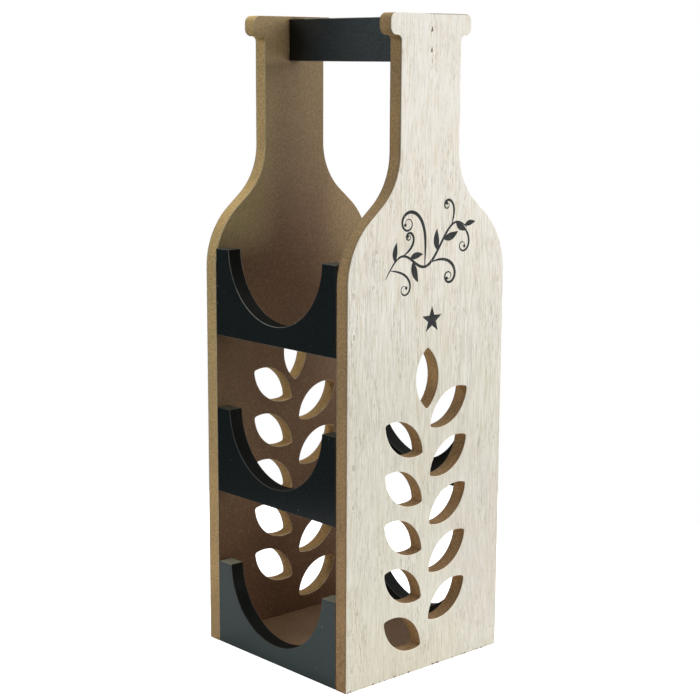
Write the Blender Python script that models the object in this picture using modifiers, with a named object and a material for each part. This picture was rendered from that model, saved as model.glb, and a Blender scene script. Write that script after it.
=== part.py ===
"""Rack for three bottles that lie one above the other, with a carrying handle.

Two bottle-shaped side panels stand face to face. Six cradles, a base board and a
handle board span the gap between them, and brads driven through the panels hold
them. All lengths are in metres and +Z is up. X runs from one panel to the other,
Y from the front cradles to the rear ones, and the origin is the middle of the
footprint, on the surface that the rack stands on.
"""

import math

import bmesh
import bpy
from mathutils import Matrix, Vector

# Side panels and the gap between them
PANEL_DEPTH = 0.1195
PANEL_THICKNESS = 0.009
INNER_GAP = 0.1034

# Bottle outline of a side panel
HORNS_ABOVE_SHOULDER = 0.0114
SHOULDER_RADIUS = 0.044
SHOULDER_SLOPE = math.radians(50.0)
NECK_RADIUS = 0.037
NECK_WIDTH = 0.0446
NECK_LENGTH = 0.0613
LIP_WIDTH = 0.0604
LIP_HEIGHT = 0.0115
LIP_CORNER = 0.0042
LIP_FILLET = 0.003

# Face veneer
VENEER_THICKNESS = 0.00055
VENEER_GLUE = 0.00005

# Leaf-shaped openings cut through each side panel, set as leaves along an uncut stem
LEAF_PAIRS = 5
LEAF_PITCH = 0.0280
LEAF_FIRST = 0.0150
LEAF_LENGTH = 0.0340
LEAF_WIDTH = 0.0175
LEAF_TIP_RADIUS = 0.0016
LEAF_SLANT = math.radians(34.0)
STEM_WIDTH = 0.0064

# Cradles
TIERS = ("bottom", "middle", "top")
TIER_PITCH = 0.0927
CRADLE_HEIGHT = 0.050
CRADLE_THICKNESS = 0.009
BOTTLE_ARC_RADIUS = 0.040
BOTTLE_ARC_RISE = 0.001

# Handle and base board
HANDLE_HEIGHT = 0.024
HANDLE_THICKNESS = 0.009
HANDLE_DROP = 0.0015
BASE_THICKNESS = 0.005

# Brads
BRAD_LENGTH = 0.020
BRAD_SHANK_WIDTH = 0.0012
BRAD_THICKNESS = 0.0010
BRAD_HEAD_WIDTH = 0.0028
BRAD_HEAD_DEPTH = 0.0008
BRAD_TIP_LENGTH = 0.0012
BRAD_RECESS = 0.0003
CRADLE_BRAD_LOW = 0.012
CRADLE_BRAD_HIGH = 0.034
HANDLE_BRAD_SPACING = 0.0108

# Clearances and edge treatment
GLUE_GAP = 0.0002
BORE_CLEARANCE = 0.0001
EDGE_ROUND = 0.0004
EDGE_SEGMENTS = 2
EDGE_ANGLE = math.radians(40.0)
WIDE_ARC_STEP = math.radians(5.0)
NARROW_ARC_STEP = math.radians(15.0)
LEAF_ARC_STEP = math.radians(10.0)
TIP_ARC_STEP = math.radians(40.0)
WELD_DISTANCE = 0.00001

# Sizes that follow from the ones above
HALF_GAP = INNER_GAP / 2
HALF_WIDTH = HALF_GAP + PANEL_THICKNESS
HALF_DEPTH = PANEL_DEPTH / 2
CORE_THICKNESS = PANEL_THICKNESS - VENEER_THICKNESS - VENEER_GLUE
BOARD_LENGTH = INNER_GAP - 2 * GLUE_GAP
BASE_DEPTH = PANEL_DEPTH - 2 * (CRADLE_THICKNESS + GLUE_GAP)

# The panel's shoulder starts a little below the horns of the top cradle. Two arcs and a
# straight run lead in to the neck, and both radii shrink where the neck is nearly as
# wide as the body.
SHOULDER_START = (len(TIERS) - 1) * TIER_PITCH + CRADLE_HEIGHT - HORNS_ABOVE_SHOULDER
NARROWING = (PANEL_DEPTH - NECK_WIDTH) / 2
ARCS_NARROWING = (SHOULDER_RADIUS + NECK_RADIUS) * (1 - math.cos(SHOULDER_SLOPE))
RADIUS_FIT = min(1.0, NARROWING / ARCS_NARROWING)
SLOPE_RUN = (NARROWING - ARCS_NARROWING * RADIUS_FIT) / math.sin(SHOULDER_SLOPE)
ARCS_RISE = (SHOULDER_RADIUS + NECK_RADIUS) * RADIUS_FIT * math.sin(SHOULDER_SLOPE)
NECK_START = SHOULDER_START + ARCS_RISE + SLOPE_RUN * math.cos(SHOULDER_SLOPE)
LIP_START = NECK_START + NECK_LENGTH
PANEL_HEIGHT = LIP_START + LIP_HEIGHT
HANDLE_MIDDLE = PANEL_HEIGHT - HANDLE_DROP - HANDLE_HEIGHT / 2

SIDES = (("right", 1), ("left", -1))
ROWS = (("front", -1), ("rear", 1))


def clear_scene():
    """Remove every object that the scene starts with."""
    for item in list(bpy.data.objects):
        bpy.data.objects.remove(item, do_unlink=True)


def new_collection(name):
    """Make a collection and link it to the scene."""
    collection = bpy.data.collections.new(name)
    bpy.context.scene.collection.children.link(collection)
    return collection


def new_material(name, colour, roughness, metallic=0.0):
    """Make a plain Principled material."""
    material = bpy.data.materials.new(name)
    material.use_nodes = True
    material.diffuse_color = (*colour, 1.0)
    shader = material.node_tree.nodes["Principled BSDF"]
    shader.inputs["Base Color"].default_value = (*colour, 1.0)
    shader.inputs["Roughness"].default_value = roughness
    shader.inputs["Metallic"].default_value = metallic
    return material


def arc_points(centre, radius, start, end, step):
    """Return points along an arc, both ends included, with angles in radians."""
    count = max(1, math.ceil(abs(end - start) / step))
    angles = [start + (end - start) * index / count for index in range(count + 1)]
    return [(centre[0] + radius * math.cos(a), centre[1] + radius * math.sin(a)) for a in angles]


def half_bottle():
    """Return the right half of a side panel's outline, from the base up to the lip."""
    body = PANEL_DEPTH / 2
    neck = NECK_WIDTH / 2
    lip = LIP_WIDTH / 2
    outer = SHOULDER_RADIUS * RADIUS_FIT
    inner = NECK_RADIUS * RADIUS_FIT
    quarter = math.pi / 2
    corner = min(LIP_CORNER, LIP_HEIGHT / 2)
    arcs = (
        ((body - outer, SHOULDER_START), outer, 0.0, SHOULDER_SLOPE, WIDE_ARC_STEP),
        ((neck + inner, NECK_START), inner, math.pi + SHOULDER_SLOPE, math.pi, WIDE_ARC_STEP),
        ((neck + LIP_FILLET, LIP_START - LIP_FILLET), LIP_FILLET, math.pi, quarter, NARROW_ARC_STEP),
        ((lip - corner, LIP_START + corner), corner, -quarter, 0.0, NARROW_ARC_STEP),
        ((lip - corner, PANEL_HEIGHT - corner), corner, 0.0, quarter, NARROW_ARC_STEP),
    )
    points = [(body, 0.0)]
    for centre, radius, start, end, step in arcs:
        for point in arc_points(centre, radius, start, end, step):
            if math.dist(point, points[-1]) > WELD_DISTANCE:
                points.append(point)
    return points


def panel_outline():
    """Return a side panel's whole outline as (across, up) points, anticlockwise."""
    half = half_bottle()
    return half + [(-across, up) for across, up in reversed(half)]


def leaf_outline(base, direction):
    """Return one leaf opening: two wide arcs that meet in rounded tips.

    base is the tip at the stem, and direction the angle that the leaf points in.
    """
    side = LEAF_WIDTH / 2
    reach = LEAF_LENGTH / 2 - LEAF_TIP_RADIUS
    radius = (reach ** 2 + side ** 2 - LEAF_TIP_RADIUS ** 2) / (2 * (side - LEAF_TIP_RADIUS))
    flank = radius - side
    lean = math.atan2(flank, reach)
    arcs = (
        ((0.0, -flank), radius, lean, math.pi - lean, LEAF_ARC_STEP),
        ((-reach, 0.0), LEAF_TIP_RADIUS, math.pi - lean, math.pi + lean, TIP_ARC_STEP),
        ((0.0, flank), radius, math.pi + lean, 2 * math.pi - lean, LEAF_ARC_STEP),
        ((reach, 0.0), LEAF_TIP_RADIUS, -lean, lean, TIP_ARC_STEP),
    )
    points = []
    for centre, arc_radius, start, end, step in arcs:
        points += arc_points(centre, arc_radius, start, end, step)[:-1]
    turn_x = math.cos(direction)
    turn_y = math.sin(direction)
    centre_x = base[0] + turn_x * LEAF_LENGTH / 2
    centre_y = base[1] + turn_y * LEAF_LENGTH / 2
    return [(centre_x + x * turn_x - y * turn_y, centre_y + x * turn_y + y * turn_x) for x, y in points]


def sprig_outlines():
    """Return the leaf openings of one panel: alternate leaves up a stem and one at its end."""
    outlines = []
    for index in range(LEAF_PAIRS):
        for side, direction in ((1, LEAF_SLANT), (-1, math.pi - LEAF_SLANT)):
            height = LEAF_FIRST + index * LEAF_PITCH + (LEAF_PITCH / 2 if side > 0 else 0.0)
            outlines.append(leaf_outline((side * STEM_WIDTH / 2, height), direction))
    end = LEAF_FIRST + LEAF_PAIRS * LEAF_PITCH - STEM_WIDTH / 2
    outlines.append(leaf_outline((0.0, end), math.pi / 2))
    return outlines


def cradle_outline():
    """Return a cradle board's outline: a rectangle with a bottle-sized arc cut in its top."""
    half = BOARD_LENGTH / 2
    centre_height = CRADLE_HEIGHT + BOTTLE_ARC_RISE
    drop = math.asin(BOTTLE_ARC_RISE / BOTTLE_ARC_RADIUS)
    arc = arc_points((0.0, centre_height), BOTTLE_ARC_RADIUS, -drop, drop - math.pi, WIDE_ARC_STEP)
    return [(-half, 0.0), (half, 0.0), (half, CRADLE_HEIGHT)] + arc + [(-half, CRADLE_HEIGHT)]


def brad_outline(grow, reach):
    """Return the T-shaped outline of a flat brad that points down -Y.

    grow widens it all round, and reach lifts its head above Y = 0, to make a cutter.
    """
    head = BRAD_HEAD_WIDTH / 2 + grow
    shank = BRAD_SHANK_WIDTH / 2 + grow
    under_head = -(BRAD_HEAD_DEPTH + grow)
    shank_end = -(BRAD_LENGTH - BRAD_TIP_LENGTH)
    right = [(head, reach), (head, under_head), (shank, under_head), (shank, shank_end)]
    left = [(-across, along) for across, along in reversed(right)]
    return right + [(0.0, -(BRAD_LENGTH + grow))] + left


def flat_mesh(name, outlines, thickness):
    """Fill the first outline, leave the others open, thicken it evenly and weld its caps."""
    curve = bpy.data.curves.new(name, "CURVE")
    curve.dimensions = "2D"
    curve.fill_mode = "BOTH"
    curve.extrude = thickness / 2
    curve.resolution_u = 1
    curve.render_resolution_u = 0
    for outline in outlines:
        spline = curve.splines.new("POLY")
        spline.points.add(len(outline) - 1)
        for point, (across, up) in zip(spline.points, outline):
            point.co = (across, up, 0.0, 1.0)
        spline.use_cyclic_u = True
    guide = bpy.data.objects.new(name, curve)
    bpy.context.scene.collection.objects.link(guide)
    evaluated = guide.evaluated_get(bpy.context.evaluated_depsgraph_get())
    mesh = bpy.data.meshes.new_from_object(evaluated)
    bpy.data.objects.remove(guide, do_unlink=True)
    bpy.data.curves.remove(curve)

    # The fill leaves flat slivers between points that lie in line, which beautify_fill evens out.
    work = bmesh.new()
    work.from_mesh(mesh)
    bmesh.ops.remove_doubles(work, verts=work.verts, dist=WELD_DISTANCE)
    bmesh.ops.beautify_fill(work, faces=work.faces, edges=work.edges)
    bmesh.ops.recalc_face_normals(work, faces=work.faces)
    work.to_mesh(mesh)
    work.free()
    mesh.shade_smooth()
    mesh.set_sharp_from_angle(angle=EDGE_ANGLE)
    mesh.name = name
    return mesh


def box_mesh(name, size):
    """Make a box mesh of the given size, centred on its origin."""
    work = bmesh.new()
    bmesh.ops.create_cube(work, size=1.0, matrix=Matrix.Diagonal((*size, 1.0)))
    mesh = bpy.data.meshes.new(name)
    work.to_mesh(mesh)
    work.free()
    return mesh


def facing_rotation(across, up):
    """Return the rotation that turns local X to across and local Y to up."""
    across = Vector(across)
    up = Vector(up)
    return Matrix((across, up, across.cross(up))).transposed().to_4x4()


def add_piece(name, mesh, material, place, collection, parent):
    """Put a mesh into the model as a named piece, with its own place and material."""
    piece = bpy.data.objects.new(name, mesh)
    collection.objects.link(piece)
    piece.matrix_world = place
    piece.parent = parent
    mesh.materials.clear()
    mesh.materials.append(material)
    return piece


def round_edges(piece):
    """Break the sharp edges of a board."""
    bevel = piece.modifiers.new("edge_round", "BEVEL")
    bevel.width = EDGE_ROUND
    bevel.segments = EDGE_SEGMENTS
    bevel.limit_method = "ANGLE"
    bevel.angle_limit = EDGE_ANGLE


def cut_bores(piece, cutter):
    """Cut the brads' bores out of a piece."""
    cut = piece.modifiers.new("brad_bores", "BOOLEAN")
    cut.operation = "DIFFERENCE"
    cut.solver = "EXACT"
    cut.object = cutter


def brad_places():
    """Return the name and the place of every brad, with its head at the panel's outer face."""
    places = {}
    head = HALF_WIDTH - BRAD_RECESS
    for side_name, side in SIDES:
        rotation = facing_rotation((0, 0, 1), (side, 0, 0))
        for row_name, row in ROWS:
            depth = row * (HALF_DEPTH - CRADLE_THICKNESS / 2)
            for step, tier in enumerate(TIERS):
                for level, height in (("low", CRADLE_BRAD_LOW), ("high", CRADLE_BRAD_HIGH)):
                    name = f"brad_{row_name}_{tier}_{side_name}_{level}"
                    spot = Vector((side * head, depth, step * TIER_PITCH + height))
                    places[name] = Matrix.Translation(spot) @ rotation
        for level, offset in (("low", -HANDLE_BRAD_SPACING / 2), ("high", HANDLE_BRAD_SPACING / 2)):
            spot = Vector((side * head, 0.0, HANDLE_MIDDLE + offset))
            places[f"brad_handle_{side_name}_{level}"] = Matrix.Translation(spot) @ rotation
    return places


def make_bore_cutter(places, collection):
    """Make one cutter that holds the bores of all the brads."""
    outline = brad_outline(BORE_CLEARANCE, BRAD_RECESS + VENEER_THICKNESS)
    single = flat_mesh("brad_bore", [outline], BRAD_THICKNESS + 2 * BORE_CLEARANCE)
    work = bmesh.new()
    for place in places.values():
        before = len(work.verts)
        work.from_mesh(single)
        work.verts.ensure_lookup_table()
        bmesh.ops.transform(work, matrix=place, verts=work.verts[before:])
    joined = bpy.data.meshes.new("brad_bores")
    work.to_mesh(joined)
    work.free()
    bpy.data.meshes.remove(single)
    cutter = bpy.data.objects.new("brad_bores", joined)
    cutter.hide_render = True
    cutter.display_type = "WIRE"
    collection.objects.link(cutter)
    return cutter


def make_side_panels(materials, cutter, collection, parent):
    """Make the two panels, each a fibreboard core with a veneer on its outer face."""
    outlines = [panel_outline()] + sprig_outlines()
    core_middle = HALF_GAP + CORE_THICKNESS / 2
    veneer_middle = HALF_WIDTH - VENEER_THICKNESS / 2
    layers = (
        ("side_panel", CORE_THICKNESS, core_middle, materials["fibreboard"]),
        ("face_veneer", VENEER_THICKNESS, veneer_middle, materials["veneer"]),
    )
    for layer_name, thickness, middle, material in layers:
        for side_name, side in SIDES:
            name = f"{layer_name}_{side_name}"
            place = Matrix.Translation((side * middle, 0, 0)) @ facing_rotation((0, side, 0), (0, 0, 1))
            mesh = flat_mesh(name, outlines, thickness)
            cut_bores(add_piece(name, mesh, material, place, collection, parent), cutter)


def make_cradles(materials, cutter, collection, parent):
    """Make the front and rear cradles of every tier."""
    outline = cradle_outline()
    for row_name, row in ROWS:
        depth = row * (HALF_DEPTH - CRADLE_THICKNESS / 2)
        for step, tier in enumerate(TIERS):
            name = f"{row_name}_cradle_{tier}"
            place = Matrix.Translation((0, depth, step * TIER_PITCH)) @ facing_rotation((1, 0, 0), (0, 0, 1))
            mesh = flat_mesh(name, [outline], CRADLE_THICKNESS)
            cradle = add_piece(name, mesh, materials["dark_paint"], place, collection, parent)
            round_edges(cradle)
            cut_bores(cradle, cutter)


def make_handle(materials, cutter, collection, parent):
    """Make the handle, a board on edge between the two necks."""
    mesh = box_mesh("handle_bar", (BOARD_LENGTH, HANDLE_THICKNESS, HANDLE_HEIGHT))
    place = Matrix.Translation((0, 0, HANDLE_MIDDLE))
    handle = add_piece("handle_bar", mesh, materials["dark_paint"], place, collection, parent)
    round_edges(handle)
    cut_bores(handle, cutter)


def make_base_board(materials, collection, parent):
    """Make the board that closes the bottom between the panels and the lowest cradles."""
    mesh = box_mesh("base_board", (BOARD_LENGTH, BASE_DEPTH, BASE_THICKNESS))
    place = Matrix.Translation((0, 0, BASE_THICKNESS / 2))
    add_piece("base_board", mesh, materials["fibreboard"], place, collection, parent)


def make_brads(places, materials, collection, parent):
    """Make the brads, which all share one mesh."""
    mesh = flat_mesh("brad", [brad_outline(0.0, 0.0)], BRAD_THICKNESS)
    for name, place in places.items():
        add_piece(name, mesh, materials["steel"], place, collection, parent)


def build_bottle_holder():
    """Build the whole rack."""
    clear_scene()
    pieces = new_collection("wooden_bottle_holder")
    cutters = new_collection("cutters")
    root = bpy.data.objects.new("bottle_holder_origin", None)
    pieces.objects.link(root)
    materials = {
        "fibreboard": new_material("bare_fibreboard", (0.235, 0.155, 0.078), 0.85),
        "veneer": new_material("whitewashed_veneer", (0.73, 0.68, 0.58), 0.7),
        "dark_paint": new_material("dark_blue_black_paint", (0.012, 0.018, 0.022), 0.5),
        "steel": new_material("coated_steel", (0.30, 0.29, 0.27), 0.45, 1.0),
    }
    places = brad_places()
    cutter = make_bore_cutter(places, cutters)
    make_side_panels(materials, cutter, pieces, root)
    make_cradles(materials, cutter, pieces, root)
    make_handle(materials, cutter, pieces, root)
    make_base_board(materials, pieces, root)
    make_brads(places, materials, pieces, root)


build_bottle_holder()
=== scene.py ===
"""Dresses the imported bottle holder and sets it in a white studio.

The two bottle-shaped panels, the cradles, the handle and the base board are made again with
finer curves and broken edges, and stand for their CAD nodes. The brads stay as they are. All
lengths are in metres and +Z is up. X runs from one panel to the other, and Y from the front
cradles to the rear ones.
"""

import logging
import math
from collections.abc import Iterator, Mapping, Sequence
from dataclasses import dataclass, field, replace
from enum import Enum
from functools import cached_property

import bmesh
import bpy
from mathutils import Matrix, Vector, noise


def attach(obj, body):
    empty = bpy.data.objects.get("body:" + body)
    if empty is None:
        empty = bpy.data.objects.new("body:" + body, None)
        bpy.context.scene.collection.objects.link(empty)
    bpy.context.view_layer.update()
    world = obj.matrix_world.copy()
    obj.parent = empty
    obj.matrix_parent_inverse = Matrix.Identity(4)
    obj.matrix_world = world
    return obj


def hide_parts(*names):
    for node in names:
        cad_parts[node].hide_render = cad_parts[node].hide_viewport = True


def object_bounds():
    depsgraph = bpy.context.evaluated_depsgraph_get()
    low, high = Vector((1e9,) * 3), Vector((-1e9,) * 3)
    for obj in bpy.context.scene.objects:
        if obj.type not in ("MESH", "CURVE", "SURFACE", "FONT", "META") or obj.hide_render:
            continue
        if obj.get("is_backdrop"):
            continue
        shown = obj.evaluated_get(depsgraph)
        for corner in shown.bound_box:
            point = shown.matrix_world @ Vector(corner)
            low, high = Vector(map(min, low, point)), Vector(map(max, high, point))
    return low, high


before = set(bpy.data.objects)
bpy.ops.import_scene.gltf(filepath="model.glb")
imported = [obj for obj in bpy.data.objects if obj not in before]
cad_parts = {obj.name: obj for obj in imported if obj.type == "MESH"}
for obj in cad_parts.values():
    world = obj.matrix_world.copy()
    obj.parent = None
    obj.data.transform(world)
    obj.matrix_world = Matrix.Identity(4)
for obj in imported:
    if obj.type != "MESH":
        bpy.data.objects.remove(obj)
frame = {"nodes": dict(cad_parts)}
cad_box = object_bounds()

LOG = logging.getLogger("bottle_holder")
WHITE = (1.0, 1.0, 1.0)

Point = tuple[float, float]
Triple = tuple[float, float, float]
Loop = list[Point]
Tree = bpy.types.NodeTree
Node = bpy.types.Node
Material = bpy.types.Material


class Side(Enum):
    """The two side panels, by the sign of their place along X."""

    RIGHT = 1
    LEFT = -1


class Row(Enum):
    """The two rows of cradles, by the sign of their place along Y."""

    FRONT = -1
    REAR = 1


class Tier(Enum):
    """The three levels that hold a bottle, counted from the ground."""

    BOTTOM = 0
    MIDDLE = 1
    TOP = 2


class Facing(Enum):
    """The axis that a board's broad faces look along, by its number."""

    ACROSS = 0
    ALONG = 1
    UP = 2

    @property
    def direction(self) -> Triple:
        """The axis as a direction."""
        return tuple(float(axis == self.value) for axis in range(3))


def upright(across: Triple, spot: Triple) -> Matrix:
    """Return the place of an upright board from the way that its local X takes and its middle."""
    first, second = Vector(across), Vector((0.0, 0.0, 1.0))
    return Matrix.Translation(spot) @ Matrix((first, second, first.cross(second))).transposed().to_4x4()


def rectangle(across: float, up: float, middle: Point = (0.0, 0.0)) -> Loop:
    """Return a rectangle from half its width, half its height and its middle, anticlockwise."""
    corners = ((-across, -up), (across, -up), (across, up), (-across, up))
    return [(middle[0] + x, middle[1] + y) for x, y in corners]


def arc(centre: Point, radius: float, start: float, end: float, step: float) -> Loop:
    """Return points along an arc, both ends included.

    Args:
        centre: the middle of the arc.
        radius: its radius.
        start: the angle that it starts at.
        end: the angle that it ends at.
        step: the widest angle between two points.

    Returns:
        The points, in order.
    """
    count = max(1, math.ceil(abs(end - start) / step))
    angles = [start + (end - start) * index / count for index in range(count + 1)]
    return [(centre[0] + radius * math.cos(a), centre[1] + radius * math.sin(a)) for a in angles]


def without_doubles(points: Loop, least: float = 0.00001) -> Loop:
    """Return a closed loop without the points that repeat the one before them.

    Args:
        points: the loop.
        least: the shortest distance that is kept between two points.

    Returns:
        The loop, with each place once.
    """
    kept: Loop = []
    for point in points:
        if not kept or math.dist(point, kept[-1]) > least:
            kept.append(point)
    if math.dist(kept[0], kept[-1]) <= least:
        kept.pop()
    return kept


def neighbours(points: Loop) -> Iterator[tuple[Vector, Vector, Vector]]:
    """Yield each point of a closed loop between the one before it and the one after it."""
    for before, point, after in zip(points[-1:] + points, points, points[1:] + points[:1]):
        yield Vector(before), Vector(point), Vector(after)


def eased_corners(points: Loop, radius: float, sharpest: float = math.radians(30)) -> Loop:
    """Round the sharp corners of a closed loop.

    Args:
        points: the loop.
        radius: how far from a corner the rounding starts.
        sharpest: the turn from which a point counts as a corner.

    Returns:
        The loop, with a short curve at each corner.
    """
    eased: Loop = []
    for point, (before, here, after) in zip(points, neighbours(points)):
        back, onward = (before - here).normalized(), (after - here).normalized()
        if math.pi - back.angle(onward) < sharpest:
            eased.append(point)
            continue
        first, last = here + back * radius, here + onward * radius
        for share in (0.0, 0.25, 0.5, 0.75, 1.0):
            curve = first.lerp(here, share).lerp(here.lerp(last, share), share)
            eased.append((curve.x, curve.y))
    return eased


def closely_spaced(points: Loop, spacing: float) -> Loop:
    """Split the long runs of a closed loop.

    Args:
        points: the loop.
        spacing: the longest distance that is left between two points.

    Returns:
        The loop, with points added along its long runs.
    """
    spaced: Loop = []
    for (x, y), (next_x, next_y) in zip(points, points[1:] + points[:1]):
        parts = max(1, math.ceil(math.dist((x, y), (next_x, next_y)) / spacing))
        shares = [part / parts for part in range(parts)]
        spaced += [(x + (next_x - x) * share, y + (next_y - y) * share) for share in shares]
    return spaced


def inward_directions(points: Loop, opening: bool, longest: float = 2.0) -> list[Vector]:
    """Return, for each point of an anticlockwise loop, the way into the board beside it.

    Args:
        points: the loop.
        opening: whether the loop is an opening, so that the board lies outside it.
        longest: the most that a direction is lengthened at a corner.

    Returns:
        One direction a point, longer at corners so that an inset keeps its width.
    """
    sign = -1.0 if opening else 1.0
    directions = []
    for before, here, after in neighbours(points):
        arriving, leaving = (here - before).normalized(), (after - here).normalized()
        first = Vector((-arriving.y, arriving.x))
        middle = (first + Vector((-leaving.y, leaving.x))).normalized()
        directions.append(middle * (sign / max(1 / longest, middle.dot(first))))
    return directions


def thickened(line: Sequence[tuple[Point, float]], halves: Sequence[float]) -> Loop:
    """Return the outline of a drawn line, anticlockwise.

    Args:
        line: its points, each with the heading there.
        halves: half its width at each point.

    Returns:
        The outline.
    """
    right, left = [], []
    for side, sign in ((right, 1), (left, -1)):
        for ((x, y), heading), half in zip(line, halves):
            side.append((x + math.sin(heading) * sign * half, y - math.cos(heading) * sign * half))
    return right + left[::-1]


@dataclass(frozen=True)
class Fraying:
    """A slightly ragged edge: its depth, and how far apart its teeth are, roughly."""

    depth: float = 0.00009
    pitch: float = 0.0011
    spacing: float = 0.0006
    least: float = 0.25
    coarseness: float = 6.0
    second_seed: float = 9.0

    def fray(self, points: Loop, opening: bool, seed: float) -> Loop:
        """Make the edge of a loop ragged, always into the board.

        Args:
            points: the loop.
            opening: whether the loop is an opening.
            seed: a number that sets this edge apart from the others.

        Returns:
            The ragged loop.
        """
        spaced = closely_spaced(points, self.spacing)
        ragged = []
        for (x, y), inward in zip(spaced, inward_directions(spaced, opening)):
            across, up = x / self.pitch, y / self.pitch
            wide = Vector((across / self.coarseness, up / self.coarseness, seed + self.second_seed))
            reach = self.least + noise.noise(Vector((across, up, seed))) + noise.noise(wide)
            move = self.depth * max(0.0, reach)
            ragged.append((x + inward.x * move, y + inward.y * move))
        return ragged


@dataclass(frozen=True)
class Slab:
    """A flat board cut to an outline, with openings and rounded rims, on its lower and on its upper face."""

    loops: list[Loop]
    thickness: float
    rim: float
    rim_steps: int = 3
    upper_rim: float | None = None

    def rings(self) -> list[Triple]:
        """Return the inset, height and tilt of each ring, from the lower face to the upper one.

        Returns:
            One inset, height and tilt a ring.
        """
        found = []
        upper_rim = self.rim if self.upper_rim is None else self.upper_rim
        for sign, rim in ((-1, self.rim), (1, upper_rim)):
            for step in range(self.rim_steps + 1):
                share = step / self.rim_steps
                tilt = sign * math.pi / 2 * (1 - share if sign < 0 else share)
                height = sign * (self.thickness / 2 - rim) + rim * math.sin(tilt)
                found.append((rim * (1 - math.cos(tilt)), height, tilt))
        return found


class MeshDraft:
    """Collects the slabs of one piece, with the exact normal of every vertex."""

    def __init__(self, *parts: tuple[Slab, Matrix]) -> None:
        """Start the draft.

        Args:
            *parts: its first slabs, each with its place.
        """
        self.work = bmesh.new()
        self.normals: list[Vector] = []
        for slab, place in parts:
            self.add_slab(slab, place)

    def add_slab(self, slab: Slab, place: Matrix) -> None:
        """Add a slab.

        Args:
            slab: the slab, whose first loop is its outline and the others its openings.
            place: where its middle goes, with its faces looking along local Z.
        """
        turn = place.to_3x3()
        caps: tuple[list, list] = ([], [])
        for number, loop in enumerate(slab.loops):
            inward = inward_directions(loop, opening=number > 0)
            rows = []
            for inset, height, tilt in slab.rings():
                row = []
                for (across, up), way in zip(loop, inward):
                    spot = Vector((across + way.x * inset, up + way.y * inset, height))
                    row.append(self.work.verts.new(place @ spot))
                    out = way.normalized() * -math.cos(tilt)
                    self.normals.append(turn @ Vector((out.x, out.y, math.sin(tilt))))
                rows.append(row)
            for lower, upper in zip(rows, rows[1:]):
                for index in range(len(loop)):
                    after = (index + 1) % len(loop)
                    self.work.faces.new((lower[index], lower[after], upper[after], upper[index]))
            for cap, row in zip(caps, (rows[0], rows[-1])):
                cap += [self.work.edges.get((row[i - 1], row[i])) for i in range(len(row))]
        up = turn @ Vector((0, 0, 1))
        for cap in caps:
            bmesh.ops.triangle_fill(self.work, use_beauty=True, use_dissolve=False, edges=cap, normal=up)

    def to_piece(self, name: str, material: Material) -> bpy.types.Object:
        """Turn the draft into an object with its place in its mesh, and report it.

        Args:
            name: the piece's name.
            material: its finish.

        Returns:
            The new object, which rides on the frame's only body.
        """
        bmesh.ops.recalc_face_normals(self.work, faces=self.work.faces)
        mesh = bpy.data.meshes.new(name)
        self.work.to_mesh(mesh)
        self.work.free()
        mesh.shade_smooth()
        mesh.normals_split_custom_set_from_vertices(self.normals)
        mesh.materials.append(material)
        LOG.info("%s: %d faces", name, len(mesh.polygons))
        piece = linked(name, mesh)
        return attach(piece, "root")


def linked(name: str, data: bpy.types.ID) -> bpy.types.Object:
    """Return a new object in the scene, made from its data.

    Args:
        name: the object's name.
        data: its mesh, lamp or camera.

    Returns:
        The object.
    """
    made = bpy.data.objects.new(name, data)
    bpy.context.scene.collection.objects.link(made)
    return made


@dataclass(frozen=True)
class Signal:
    """A value or colour on a node canvas, which arithmetic turns into further nodes."""

    canvas: "NodeCanvas"
    socket: bpy.types.NodeSocket

    def __mul__(self, other: "Feed") -> "Signal":
        """Return the product."""
        return self.canvas.calc("MULTIPLY", self, other)

    def __add__(self, other: "Feed") -> "Signal":
        """Return the sum."""
        return self.canvas.calc("ADD", self, other)

    def __sub__(self, other: "Feed") -> "Signal":
        """Return the difference."""
        return self.canvas.calc("SUBTRACT", self, other)

    def __rsub__(self, other: float) -> "Signal":
        """Return a number less the value."""
        return self.canvas.calc("SUBTRACT", other, self)

    def __truediv__(self, other: "Feed") -> "Signal":
        """Return the quotient."""
        return self.canvas.calc("DIVIDE", self, other)

    def __rtruediv__(self, other: float) -> "Signal":
        """Return a number divided by the value."""
        return self.canvas.calc("DIVIDE", other, self)

    def __abs__(self) -> "Signal":
        """Return the value without its sign."""
        return self.canvas.calc("ABSOLUTE", self)

    def most(self, other: "Feed") -> "Signal":
        """Return the larger of two values."""
        return self.canvas.calc("MAXIMUM", self, other)

    def ramp(self, low: float, high: float, new_low: float = 0.0, new_high: float = 1.0) -> "Signal":
        """Return the value moved smoothly from the range low to high to the one of new_low to new_high."""
        feeds = {"Value": self, "From Min": low, "From Max": high, "To Min": new_low, "To Max": new_high}
        return self.canvas.read("ShaderNodeMapRange", feeds, interpolation_type="SMOOTHSTEP")

    def mix(self, amount: "Feed", over: "Feed") -> "Signal":
        """Return the colour with another laid over it, as far as the amount says."""
        return self.canvas.mix(amount, self, over)

    def tint(self, amount: "Feed", over: "Feed") -> "Signal":
        """Return the colour multiplied by another, as far as the amount says."""
        return self.canvas.mix(amount, self, over, "MULTIPLY")


Feed = Signal | float | Sequence[float]
Feeds = Mapping[str | int, Feed]


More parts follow.
